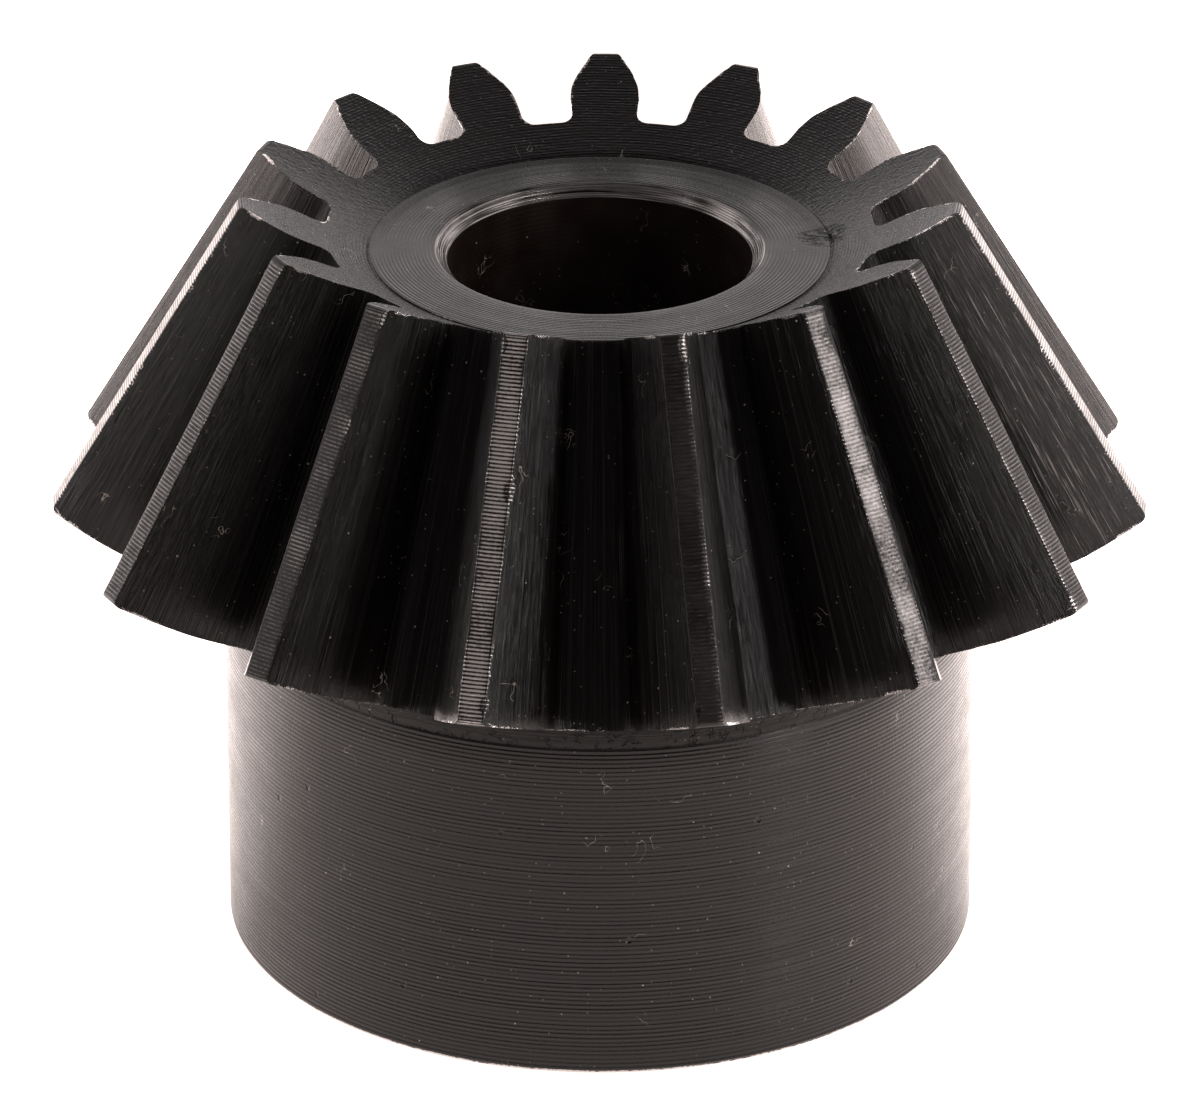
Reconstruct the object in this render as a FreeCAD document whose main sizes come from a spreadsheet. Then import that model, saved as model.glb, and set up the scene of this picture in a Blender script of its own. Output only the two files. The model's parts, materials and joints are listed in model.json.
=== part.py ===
"""Straight-tooth bevel pinion: one piece of steel with a hub, a toothed cone and a bore.

Frame: millimetres, +Z up along the bore. The origin is the centre of the hub's rear face,
the face that a shaft's shoulder bears on. The small end of the teeth is at the top.
A tooth is centred on +Y, so a tooth gap is centred on -Y.

The gear is the small member of a right-angle pair. Its tooth flanks run towards the pitch
apex, the point on the axis where the axes of the two gears cross.
"""
import FreeCAD, Part

import math
import os

from FreeCAD import Placement, Rotation, Vector
import Sketcher

NODE = "bevel_pinion"

# Driving dimensions: millimetres, degrees, or multiples of the module where so named.
DIMENSIONS = {
    # The pair
    "module": 2.5,
    "tooth_count": 15,
    "pitch_angle": 26.565,        # atan(15 / 30): the pinion of a 1:2 pair
    "face_width": 14.87,          # length of the teeth along the pitch cone
    # The turned blank
    "outside_diameter": 43.6,     # over the tooth tips at the large end
    "tip_height": 18.45,          # rear face to the plane of the large-end tips
    "hub_diameter": 30.0,
    "bore_diameter": 12.0,
    "small_end_diameter": 28.2,   # over the tooth tips at the small end
    "ring_diameter": 18.1,        # flat ring around the bore at the small end
    "ring_step": 0.05,            # the flat ring stands this much above the dished cone
    "bore_chamfer": 0.46,
    "hub_edge_break": 0.2,
    "neck_radius": 1.2,           # from the hub into the back of the teeth
    "tip_corner_radius": 0.22,    # turned corners at both ends of the teeth
    # Tooth shape, in modules at whichever station along the tooth it is taken
    "whole_depth": 2.32,
    "shoulder_depth": 0.69,
    "shoulder_half": 0.645,
    "widest_depth": 1.32,
    "widest_half": 0.888,
    "waist_half": 0.81,
    "root_fillet": 0.31,
    "lead_out": 0.18,             # how far the cut runs on above the tips
    # Tip lands, which keep nearly one width from end to end
    "heel_land": 0.97,
    "toe_land": 0.92,
    # How far the cut runs on past each end of the teeth
    "overrun": 1.6,
}

# Expressions worked out from the sheet's cells
HEEL_RADIUS = "gear.outside_diameter / 2"
TOE_RADIUS = "gear.small_end_diameter / 2"
PITCH_RADIUS = "gear.module * gear.tooth_count / 2"
CONE_DISTANCE = f"({PITCH_RADIUS} / sin(gear.pitch_angle))"
# Addendum: the tip circle's distance outside the pitch circle, along the back cone
ADDENDUM = f"(({HEEL_RADIUS} - {PITCH_RADIUS}) / cos(gear.pitch_angle))"
# The pitch apex, where the axes of the two gears cross
APEX_HEIGHT = (f"(gear.tip_height - {ADDENDUM} * sin(gear.pitch_angle)"
               f" + {CONE_DISTANCE} * cos(gear.pitch_angle))")


def make_sheet(doc):
    """A spreadsheet with one named cell for each driving dimension."""
    sheet = doc.addObject("Spreadsheet::Sheet", "gear")
    for row, (name, value) in enumerate(DIMENSIONS.items(), start=1):
        sheet.set(f"A{row}", name)
        sheet.set(f"B{row}", str(value))
        sheet.setAlias(f"B{row}", name)
    doc.recompute()
    return sheet


def origin_feature(body, role):
    """One of the body's own origin planes or axes."""
    return next(item for item in body.Origin.OriginFeatures if item.Role == role)


def bind(sketch, kind, arguments, value, name, expression):
    """Add a named dimension to a sketch and bind it to the sheet."""
    index = sketch.addConstraint(Sketcher.Constraint(kind, *arguments, value))
    sketch.renameConstraint(index, name)
    sketch.setExpression(f"Constraints.{name}", expression)
    return index


def evaluate(sheet, expression):
    """The number that an expression gives with the sheet's present cells."""
    result = sheet.evalExpression(expression)
    return float(getattr(result, "Value", result))


def arc(centre, start, end):
    """The counter-clockwise arc about centre from start to end, for a sketch."""
    spoke_a, spoke_b = start - centre, end - centre
    circle = Part.Circle(centre, Vector(0, 0, 1), spoke_a.Length)
    return Part.ArcOfCircle(circle, math.atan2(spoke_a.y, spoke_a.x),
                            math.atan2(spoke_b.y, spoke_b.x))


def rounding(before, corner, after, radius):
    """Both tangent points and the centre of an arc that rounds a corner."""
    back, ahead = (before - corner).normalize(), (after - corner).normalize()
    half_angle = back.getAngle(ahead) / 2
    reach = radius / math.tan(half_angle)
    centre = corner + (back + ahead).normalize() * (radius / math.sin(half_angle))
    return corner + back * reach, corner + ahead * reach, centre


def blank_sketch(body, sheet):
    """Half section of the turned blank: radius along the sketch's X, height along its Y."""
    bore, hub, ring = (cell / 2 for cell in
                       (sheet.bore_diameter, sheet.hub_diameter, sheet.ring_diameter))
    heel, toe = sheet.outside_diameter / 2, sheet.small_end_diameter / 2
    angle = math.radians(sheet.pitch_angle)
    chamfer, edge_break = sheet.bore_chamfer, sheet.hub_edge_break
    # First guesses close to the solution; the constraints below hold the shape.
    toe_height = (sheet.tip_height + sheet.face_width / math.cos(angle)
                  - (heel - toe) * math.tan(angle))
    dish_height = toe_height - (toe - ring) * math.tan(angle)
    ring_height = dish_height + sheet.ring_step
    neck_corner = Vector(hub, sheet.tip_height - (heel - hub) * math.tan(angle), 0)
    heel_corner = Vector(heel, sheet.tip_height, 0)
    toe_corner = Vector(toe, toe_height, 0)
    dish_foot = Vector(ring, dish_height, 0)
    hub_foot = Vector(hub, edge_break, 0)
    neck_low, neck_high, neck_centre = rounding(
        hub_foot, neck_corner, heel_corner, sheet.neck_radius)
    heel_low, heel_high, heel_centre = rounding(
        neck_corner, heel_corner, toe_corner, sheet.tip_corner_radius)
    toe_low, toe_high, toe_centre = rounding(
        heel_corner, toe_corner, dish_foot, sheet.tip_corner_radius)
    ring_outer = Vector(ring, ring_height, 0)
    ring_inner = Vector(bore + chamfer, ring_height, 0)
    bore_top, bore_foot = Vector(bore, ring_height - chamfer, 0), Vector(bore, chamfer, 0)
    base_inner, base_outer = Vector(bore + chamfer, 0, 0), Vector(hub - edge_break, 0, 0)

    geometry = [
        Part.LineSegment(base_inner, base_outer),
        Part.LineSegment(base_outer, hub_foot),
        Part.LineSegment(hub_foot, neck_low),
        arc(neck_centre, neck_high, neck_low),
        Part.LineSegment(neck_high, heel_low),
        arc(heel_centre, heel_low, heel_high),
        Part.LineSegment(heel_high, toe_low),
        arc(toe_centre, toe_low, toe_high),
        Part.LineSegment(toe_high, dish_foot),
        Part.LineSegment(dish_foot, ring_outer),
        Part.LineSegment(ring_outer, ring_inner),
        Part.LineSegment(ring_inner, bore_top),
        Part.LineSegment(bore_top, bore_foot),
        Part.LineSegment(bore_foot, base_inner),
    ]
    (base, hub_edge, hub_wall, neck, back_cone, heel_round, face_cone, toe_round, dish, step,
     ring_face, top_chamfer, bore_wall, base_chamfer) = range(len(geometry))
    sketch = body.newObject("Sketcher::SketchObject", "BlankSection")
    sketch.AttachmentSupport = [(origin_feature(body, "YZ_Plane"), "")]
    sketch.MapMode = "FlatFace"
    for item in geometry:
        sketch.addGeometry(item, False)
    # The sharp corners that the rounded ones are measured from
    heel_point = sketch.addGeometry(Part.Point(heel_corner), True)
    toe_point = sketch.addGeometry(Part.Point(toe_corner), True)

    start, end = 1, 2
    origin_point, flat_axis = (-1, 1), -1
    for line, following in (
        (base, hub_edge), (hub_edge, hub_wall), (dish, step), (step, ring_face),
        (ring_face, top_chamfer), (top_chamfer, bore_wall), (bore_wall, base_chamfer),
        (base_chamfer, base),
    ):
        sketch.addConstraint(Sketcher.Constraint("Coincident", line, end, following, start))
    for smooth in (
        (hub_wall, end, neck, end), (neck, start, back_cone, start),
        (back_cone, end, heel_round, start), (heel_round, end, face_cone, start),
        (face_cone, end, toe_round, start), (toe_round, end, dish, start),
    ):
        sketch.addConstraint(Sketcher.Constraint("Tangent", *smooth))
    for line in (base, ring_face):
        sketch.addConstraint(Sketcher.Constraint("Horizontal", line))
    for line in (hub_wall, step, bore_wall):
        sketch.addConstraint(Sketcher.Constraint("Vertical", line))
    for point, line in ((heel_point, back_cone), (heel_point, face_cone),
                        (toe_point, face_cone), (toe_point, dish)):
        sketch.addConstraint(Sketcher.Constraint("PointOnObject", point, start, line))
    sketch.addConstraint(Sketcher.Constraint("PointOnObject", base, start, flat_axis))
    sketch.addConstraint(Sketcher.Constraint("Parallel", back_cone, dish))
    sketch.addConstraint(Sketcher.Constraint("Equal", heel_round, toe_round))

    bind(sketch, "DistanceX", origin_point + (bore_wall, end), bore, "bore_radius",
         "gear.bore_diameter / 2")
    bind(sketch, "DistanceX", origin_point + (hub_wall, start), hub, "hub_radius",
         "gear.hub_diameter / 2")
    bind(sketch, "DistanceX", origin_point + (step, start), ring, "ring_radius",
         "gear.ring_diameter / 2")
    bind(sketch, "DistanceX", origin_point + (heel_point, start), heel, "heel_radius",
         HEEL_RADIUS)
    bind(sketch, "DistanceY", origin_point + (heel_point, start), sheet.tip_height,
         "heel_height", "gear.tip_height")
    bind(sketch, "DistanceX", origin_point + (toe_point, start), toe, "toe_radius",
         TOE_RADIUS)
    bind(sketch, "Distance", (toe_point, start, back_cone), sheet.face_width,
         "face_width", "gear.face_width")
    bind(sketch, "Angle", (back_cone,), angle, "back_cone_angle", "gear.pitch_angle")
    bind(sketch, "DistanceY", (step, start, step, end), sheet.ring_step, "ring_step",
         "gear.ring_step")
    bind(sketch, "Radius", (neck,), sheet.neck_radius, "neck_radius", "gear.neck_radius")
    bind(sketch, "Radius", (heel_round,), sheet.tip_corner_radius, "tip_corner_radius",
         "gear.tip_corner_radius")
    # Each chamfer's two legs
    for line, leg, cell, label in (
        (base_chamfer, chamfer, "bore_chamfer", "base_chamfer"),
        (hub_edge, edge_break, "hub_edge_break", "hub_edge"),
    ):
        bind(sketch, "DistanceX", (line, start, line, end), leg, f"{label}_across",
             f"gear.{cell}")
    bind(sketch, "DistanceY", (base_chamfer, end, base_chamfer, start), chamfer,
         "base_chamfer_up", "gear.bore_chamfer")
    bind(sketch, "DistanceY", (hub_edge, start, hub_edge, end), edge_break,
         "hub_edge_up", "gear.hub_edge_break")
    bind(sketch, "DistanceX", (top_chamfer, end, top_chamfer, start), chamfer,
         "top_chamfer_across", "gear.bore_chamfer")
    bind(sketch, "DistanceY", (top_chamfer, end, top_chamfer, start), chamfer,
         "top_chamfer_up", "gear.bore_chamfer")
    return sketch


def gap_sketch(body, sheet, name, fraction):
    """Section of one tooth gap, square to the pitch cone at -Y.

    fraction is an expression: 0 at the large end of the teeth, 1 at the small end, and
    outside that range where the cut runs on past the teeth. The sketch's origin is the
    point of the gear's axis where the back cone of that station ends, so the section is
    drawn like that of a spur gear: pitch, tip and root circles about the origin, and the
    tooth beside the gap on a centre line half a pitch away.
    """
    station = f"({CONE_DISTANCE} - ({fraction}) * gear.face_width)"
    module = f"(gear.module * {station} / {CONE_DISTANCE})"
    tip_circle = (f"(({HEEL_RADIUS} + ({TOE_RADIUS} - {HEEL_RADIUS}) * ({fraction}))"
                  f" / cos(gear.pitch_angle))")
    half_land = (f"(gear.heel_land + (gear.toe_land - gear.heel_land) * ({fraction}))"
                 f" / 2")
    half_pitch = "(180 / gear.tooth_count * cos(gear.pitch_angle))"

    sketch = body.newObject("Sketcher::SketchObject", name)
    sketch.AttachmentSupport = [(origin_feature(body, "XZ_Plane"), "")]
    sketch.MapMode = "FlatFace"
    sketch.AttachmentOffset = Placement(Vector(0, 1, 0), Rotation(Vector(1, 0, 0), 60))
    sketch.setExpression("AttachmentOffset.Base.y",
                         f"{APEX_HEIGHT} - {station} / cos(gear.pitch_angle)")
    sketch.setExpression("AttachmentOffset.Rotation.Angle", "90 - gear.pitch_angle")

    unit = evaluate(sheet, module)
    tip = evaluate(sheet, tip_circle)
    land = evaluate(sheet, half_land)
    lean = math.radians(evaluate(sheet, half_pitch))
    outward = Vector(math.sin(lean), math.cos(lean), 0)
    sideways = Vector(-math.cos(lean), math.sin(lean), 0)

    def beside(half_width, depth):
        """A point of the tooth's flank, from the tooth's centre line and its tip."""
        return outward * (tip - depth) + sideways * half_width

    def mirrored(point):
        return Vector(-point.x, point.y, 0)

    # First guesses close to the solution; the constraints below hold the shape.
    root = tip - sheet.whole_depth * unit
    rim = tip + sheet.lead_out * unit
    corner = beside(land, 0)
    shoulder = beside(sheet.shoulder_half * unit, sheet.shoulder_depth * unit)
    widest = beside(sheet.widest_half * unit, sheet.widest_depth * unit)
    fillet = sheet.root_fillet * unit
    waist = beside(sheet.waist_half * unit, sheet.whole_depth * unit - fillet)
    fillet_centre = beside(sheet.waist_half * unit + fillet,
                           sheet.whole_depth * unit - fillet)
    foot = fillet_centre * (root / fillet_centre.Length)
    lead = beside(land / 2, -sheet.lead_out * unit)
    lead *= rim / lead.Length
    flank_centre = Part.Circle(corner, shoulder, widest).Center
    origin = Vector(0, 0, 0)

    geometry = [
        (Part.LineSegment(origin, outward * tip), True),
        (Part.LineSegment(outward * tip, corner), True),
        (Part.Point(shoulder), True),
        (arc(flank_centre, lead, widest), False),
        (Part.LineSegment(widest, waist), False),
        (arc(fillet_centre, foot, waist), False),
        (arc(origin, foot, mirrored(foot)), False),
        (arc(mirrored(fillet_centre), mirrored(waist), mirrored(foot)), False),
        (Part.LineSegment(mirrored(waist), mirrored(widest)), False),
        (arc(mirrored(flank_centre), mirrored(widest), mirrored(lead)), False),
        (arc(origin, lead, mirrored(lead)), False),
    ]
    (centre_line, tip_line, shoulder_point, flank, neck, round_in, root_land, left_round,
     left_neck, left_flank, lid) = range(len(geometry))
    for item, construction in geometry:
        sketch.addGeometry(item, construction)

    start, end, centre = 1, 2, 3
    origin_point, vertical_axis = (-1, 1), -2
    for joined in (
        (centre_line, start) + origin_point,
        (tip_line, start, centre_line, end),
        (neck, start, flank, end),
        (root_land, centre) + origin_point,
        (left_round, end, root_land, end),
        (left_neck, start, left_round, start),
        (left_flank, start, left_neck, end),
        (lid, centre) + origin_point,
        (lid, start, flank, start),
        (lid, end, left_flank, end),
    ):
        sketch.addConstraint(Sketcher.Constraint("Coincident", *joined))
    sketch.addConstraint(Sketcher.Constraint("Perpendicular", centre_line, tip_line))
    sketch.addConstraint(Sketcher.Constraint("Tangent", round_in, end, neck, end))
    sketch.addConstraint(Sketcher.Constraint("Tangent", round_in, start, root_land, start))
    sketch.addConstraint(Sketcher.Constraint("PointOnObject", shoulder_point, start, flank))
    sketch.addConstraint(Sketcher.Constraint("PointOnObject", tip_line, end, flank))
    for pair in ((left_round, start, neck, end), (left_neck, end, neck, start)):
        sketch.addConstraint(Sketcher.Constraint("Symmetric", *pair, vertical_axis))
    for pair in ((left_round, round_in), (left_flank, flank)):
        sketch.addConstraint(Sketcher.Constraint("Equal", *pair))
    # Both ends of the root land, and of the lid, lie on one circle about the axis, so
    # making them level mirrors them.
    for item in (root_land, lid):
        sketch.addConstraint(Sketcher.Constraint("Horizontal", item, start, item, end))

    bind(sketch, "Angle", (centre_line,), math.pi / 2 - lean, "centre_line_angle",
         f"90 - {half_pitch}")
    bind(sketch, "Distance", (centre_line,), tip, "tip_circle", tip_circle)
    bind(sketch, "Distance", (tip_line,), land, "half_land", half_land)
    bind(sketch, "Radius", (root_land,), root, "root_circle",
         f"{tip_circle} - gear.whole_depth * {module}")
    bind(sketch, "Radius", (lid,), rim, "lid_circle",
         f"{tip_circle} + gear.lead_out * {module}")
    bind(sketch, "Radius", (round_in,), fillet, "root_fillet", f"gear.root_fillet * {module}")
    for item, position, label in (
        (shoulder_point, start, "shoulder"), (flank, end, "widest"), (neck, end, "waist"),
    ):
        half = getattr(sheet, f"{label}_half") * unit
        bind(sketch, "Distance", (item, position, centre_line), half, f"{label}_half",
             f"gear.{label}_half * {module}")
    for item, position, label in ((shoulder_point, start, "shoulder"),
                                  (flank, end, "widest")):
        depth = getattr(sheet, f"{label}_depth") * unit
        bind(sketch, "Distance", (item, position, tip_line), depth, f"{label}_depth",
             f"gear.{label}_depth * {module}")
    return sketch


def turned_blank(doc, body):
    """The lathe work: the section turned about the bore's axis."""
    sketch = body.getObject("BlankSection")
    turned = body.newObject("PartDesign::Revolution", "Turned")
    turned.Profile = sketch
    turned.ReferenceAxis = (sketch, ["V_Axis"])
    turned.Angle = 360
    doc.recompute()
    return turned


def cut_teeth(doc, body, sheet):
    """One tooth gap lofted from end to end, repeated round the axis."""
    past_heel = gap_sketch(body, sheet, "GapPastHeel", "-gear.overrun / gear.face_width")
    past_toe = gap_sketch(body, sheet, "GapPastToe", "1 + gear.overrun / gear.face_width")
    gap = body.newObject("PartDesign::SubtractiveLoft", "ToothGap")
    gap.Profile = past_heel
    gap.Sections = [(past_toe, [""])]
    gap.Ruled = True
    doc.recompute()

    pattern = body.newObject("PartDesign::PolarPattern", "Teeth")
    pattern.Originals = [gap]
    pattern.Axis = (origin_feature(body, "Z_Axis"), [""])
    pattern.Angle = 360
    pattern.setExpression("Occurrences", "gear.tooth_count")
    body.Tip = pattern
    doc.recompute()
    return gap, pattern


def check(doc, parts):
    """Stop if any object failed, or a part is not one valid solid."""
    for item in doc.Objects:
        failed = {"Invalid", "Error"} & set(item.State)
        if failed:
            raise RuntimeError(f"{item.Label}: {failed}")
    for part in parts:
        shape = part.Shape
        if shape.isNull() or not shape.isValid() or len(shape.Solids) != 1:
            raise RuntimeError(f"{part.Label}: not one valid solid")


def main():
    os.makedirs("parts", exist_ok=True)
    doc = FreeCAD.newDocument("bevel_pinion")
    sheet = make_sheet(doc)

    body = doc.addObject("PartDesign::Body", "BevelPinion")
    body.Label = NODE
    body.Placement = Placement()
    blank_sketch(body, sheet)
    blank = turned_blank(doc, body)
    gap, pattern = cut_teeth(doc, body, sheet)
    check(doc, [body])

    # Every gap has to take the same bite out of the blank.
    one_bite = blank.Shape.Volume - gap.Shape.Volume
    all_bites = blank.Shape.Volume - pattern.Shape.Volume
    if one_bite <= 0 or abs(all_bites - sheet.tooth_count * one_bite) > 1e-3 * all_bites:
        raise RuntimeError("the tooth gaps did not cut evenly")

    body.Shape.exportStep(f"parts/{NODE}.step")
    box = body.Shape.optimalBoundingBox()
    print(f"{NODE}: {box.XLength:.2f} x {box.YLength:.2f} x {box.ZLength:.2f} mm,"
          f" {body.Shape.Volume / 1000:.3f} cm3, {len(body.Shape.Faces)} faces")


main()
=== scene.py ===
"""Looks of the bevel pinion: one blackened-steel gear on a plain pale floor.

The gear is one piece, so the scene has one detailed mesh. It follows the CAD solid's
sizes and adds what machining and handling left on it: turned ridges on the tooth tips,
worn edges, burrs and nicks. Lengths are in millimetres until the mesh is made, in metres.
"""

import functools
import json
import math
import random

import bmesh
import bpy
import numpy as np
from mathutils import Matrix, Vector


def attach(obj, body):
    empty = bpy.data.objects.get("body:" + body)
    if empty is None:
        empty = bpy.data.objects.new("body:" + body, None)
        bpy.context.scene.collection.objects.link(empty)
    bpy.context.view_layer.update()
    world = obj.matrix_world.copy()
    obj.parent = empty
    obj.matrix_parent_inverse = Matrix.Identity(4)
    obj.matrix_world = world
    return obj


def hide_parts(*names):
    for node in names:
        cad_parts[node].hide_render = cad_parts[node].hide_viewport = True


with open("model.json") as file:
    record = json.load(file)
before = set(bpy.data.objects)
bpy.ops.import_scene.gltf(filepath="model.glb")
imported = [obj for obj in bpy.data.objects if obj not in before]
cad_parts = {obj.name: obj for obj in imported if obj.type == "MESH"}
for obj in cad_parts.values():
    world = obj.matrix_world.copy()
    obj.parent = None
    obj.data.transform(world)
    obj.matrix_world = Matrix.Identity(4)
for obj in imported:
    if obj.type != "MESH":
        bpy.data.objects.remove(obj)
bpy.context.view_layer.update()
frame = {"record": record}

MM = 0.001
NODE = "bevel_pinion"

# ---------------------------------------------------------------- sizes, as in the part
TEETH = 15
MODULE = 2.5
PITCH_ANGLE = math.atan(0.5)          # a 15-tooth gear that drives a 30-tooth one
FACE_WIDTH = 14.87
HEEL_RADIUS = 21.8                    # sharp tip corner at the large end
TOE_RADIUS = 14.1                     # sharp tip corner at the small end
TIP_HEIGHT = 18.45                    # rear face to the large-end tip corner
HUB_RADIUS = 15.0
HUB_EDGE = 0.2
NECK_RADIUS = 1.2
CORNER_RADIUS = 0.22
RING_RADIUS = 9.05
RING_STEP = 0.05
CHAMFER = 0.46
WHOLE_DEPTH = 2.32                    # this line and the next four are in modules
SHOULDER_DEPTH, SHOULDER_HALF = 0.69, 0.645
WIDEST_DEPTH, WIDEST_HALF = 1.32, 0.888
WAIST_HALF = 0.81
ROOT_FILLET = 0.31
HEEL_LAND, TOE_LAND = 0.97, 0.92      # width of the tooth's tip

mounts = {mount["name"]: mount for mount in frame["record"]["mounts"]}
BORE_RADIUS = mounts["bore"]["dims"]["r_mm"]
RING_HEIGHT = mounts["front_face"]["pos_m"][2] / MM

SIN, COS = math.sin(PITCH_ANGLE), math.cos(PITCH_ANGLE)
PITCH_RADIUS = MODULE * TEETH / 2
CONE_DISTANCE = PITCH_RADIUS / SIN
ADDENDUM = (HEEL_RADIUS - PITCH_RADIUS) / COS
APEX_HEIGHT = TIP_HEIGHT - ADDENDUM * SIN + CONE_DISTANCE * COS
HALF_PITCH = math.pi / TEETH * COS    # half a tooth pitch on the unrolled back cone

# ---------------------------------------------------------------- tool marks and wear
FINE_PER_COARSE = 10                  # tip stations for each station of the flanks
COARSE_STATIONS = 28                  # between the rounded ends
RIDGE_SHAPE = (0.0, 1.0, 0.35)        # one turned ridge of a tip, at its three stations
RIDGE_HEIGHT = 0.015
RIDGE_VARIATION = 0.35                # share of that height that comes and goes
RIDGE_FACTOR = {10: 1.8, 5: 1.25}     # teeth whose ridges stand higher
EDGE_ROUND = 0.05                     # broken edge along both sides of a tip
EDGE_RAGGED = 0.028                   # how far that edge wanders
EDGE_LEAST = 0.015                    # its size where it is sharpest
BURR = 0.02                           # raised lip where a flank meets the end faces

# Columns of the tooth's half section, from the middle of the tip to the middle of the gap
LAND_COLUMNS, EDGE_COLUMNS, FLANK_COLUMNS = 2, 2, 13
NECK_COLUMNS, FILLET_COLUMNS, ROOT_COLUMNS = 3, 6, 4
SOFTENED = 3                          # flank columns that round the widest point off
LAND_END = LAND_COLUMNS + EDGE_COLUMNS
FOOT = LAND_END + FLANK_COLUMNS + NECK_COLUMNS + FILLET_COLUMNS
GAP = FOOT + ROOT_COLUMNS

ZONES = ("hub", "neck", "flank", "tip", "edge", "dish", "ring", "chamfer", "bore", "rear")

# Nicks in tip edges: tooth, side, distance from the large end, half length, depth and
# brightness. A dark nick still has a bright lower rim.
NICKS = (
    (8, -1, 8.9, 0.45, 0.26, 0.1), (8, -1, 0.8, 0.35, 0.18, 0.3),
    (8, 1, 2.2, 0.5, 0.07, 1.0), (7, -1, 14.3, 0.60, 0.20, 2.0),
    (7, -1, 12.9, 0.50, 0.03, 1.3), (7, 1, 0.7, 0.3, 0.14, 1.5),
    (8, 1, 14.4, 0.35, 0.15, 1.6), (6, -1, 13.9, 0.9, 0.16, 1.0),
    (6, 1, 2.4, 0.3, 0.06, 1.0), (10, -1, 9.6, 0.35, 0.10, 1.0),
    (9, -1, 10.2, 0.3, 0.08, 1.5), (5, 1, 9.1, 0.25, 0.07, 1.0),
    (12, 1, 6.0, 0.4, 0.10, 1.0), (2, -1, 11.0, 0.3, 0.08, 1.0),
    (7, -1, 5.5, 0.3, 0.05, 1.3), (6, -1, 7.2, 0.6, 0.07, 1.2),
    (9, -1, 14.5, 0.35, 0.10, 1.7), (5, 1, 14.5, 0.30, 0.09, 1.5),
    (10, -1, 14.5, 0.30, 0.09, 1.6), (5, 1, 0.4, 0.30, 0.08, 1.6),
    (6, 1, 0.4, 0.30, 0.06, 1.4), (4, 1, 7.4, 0.30, 0.08, 1.2),
)

# Wear, from 0 for none: how far the black is rubbed off. The keys are teeth, then sides.
EDGE_WEAR = (0.25, 1.0, 0.30)         # across a tip's broken edge
SIDE_WEAR = {4: {-1: 0.3, 1: 0.3}, 5: {-1: 0.8, 1: 1.6}, 6: {-1: 1.0, 1: 1.0},
             7: {-1: 1.05, 1: 0.6}, 8: {-1: 0.42, 1: 0.38}, 9: {-1: 1.1, 1: 0.8},
             10: {-1: 1.0, 1: 0.9}, 11: {-1: 0.3, 1: 0.3}}
OTHER_SIDE_WEAR = {-1: 0.8, 1: 0.7}
CREST_WEAR = {4: 2.2, 5: 0.30, 6: 1.0, 7: 0.15, 8: 2.2, 9: 0.50, 10: 0.08, 11: 2.2}
OTHER_CREST_WEAR = 0.6
LAND_WEAR = {4: 0.28, 6: 0.48, 8: 0.14, 11: 0.28}   # between the crests of the ridges
CREST_SHARE = 0.6                     # of a tip's wear, what its broken edge has at least
DOTTED = 0.45                         # wear of a broken edge between two ridges
END_WEAR, ROOT_WEAR = 1.5, 0.95       # where a flank meets the end faces
DARK_NICK = 0.5                       # a nick of less brightness is a dark one
RIM_START = 0.6                       # where its rim begins, in half lengths below it
RIM_WEAR = 1.8
END_WEAR_COLUMNS = 5                  # flank columns that are worn more at the ends
SHARP_ANGLE = math.radians(28)        # edges that turn more than this stay sharp


@functools.lru_cache(maxsize=None)
def smooth_noise(seed, spacing):
    """A repeatable noise of one variable, from -1 to 1, with lumps of that spacing."""
    draw = random.Random(seed)
    values = [draw.uniform(-1, 1) for _ in range(512)]

    def noise(x):
        place = x / spacing
        cell = math.floor(place)
        blend = place - cell
        blend = blend * blend * (3 - 2 * blend)
        return values[cell % 512] * (1 - blend) + values[(cell + 1) % 512] * blend

    return noise


def station_distances():
    """Distances of the fine stations from the large end, in steps of angle at the ends."""
    turns = [math.pi / 2 * n / FINE_PER_COARSE for n in range(FINE_PER_COARSE)]
    rounded = [CORNER_RADIUS * (1 - math.cos(turn)) for turn in turns]
    count = COARSE_STATIONS * FINE_PER_COARSE
    step = (FACE_WIDTH - 2 * CORNER_RADIUS) / count
    straight = [CORNER_RADIUS + step * n for n in range(count + 1)]
    return rounded + straight + [FACE_WIDTH - distance for distance in reversed(rounded)]


def tip_drop(distance):
    """How far the rounded end of a tooth brings its tip down."""
    inside = CORNER_RADIUS - min(distance, FACE_WIDTH - distance)
    if inside <= 0:
        return 0.0
    return CORNER_RADIUS - math.sqrt(max(CORNER_RADIUS ** 2 - inside ** 2, 0.0))


def circle_through(a, b, c):
    """Centre and radius of the circle through three points."""
    (ax, ay), (bx, by), (cx, cy) = a, b, c
    d = 2 * (ax * (by - cy) + bx * (cy - ay) + cx * (ay - by))
    a2, b2, c2 = ax * ax + ay * ay, bx * bx + by * by, cx * cx + cy * cy
    x = (a2 * (by - cy) + b2 * (cy - ay) + c2 * (ay - by)) / d
    y = (a2 * (cx - bx) + b2 * (ax - cx) + c2 * (bx - ax)) / d
    return x, y, math.hypot(ax - x, ay - y)


def waist(root, fillet, half, widest):
    """Where the neck line meets the root fillet: height, fillet centre and line slope."""
    low, high = root, widest[1]
    for _ in range(50):
        height = (low + high) / 2
        slope = math.atan2(widest[0] - half, widest[1] - height)
        centre = (half + fillet * math.cos(slope), height - fillet * math.sin(slope))
        if math.hypot(*centre) > root + fillet:
            high = height
        else:
            low = height
    return height, centre, slope


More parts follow.
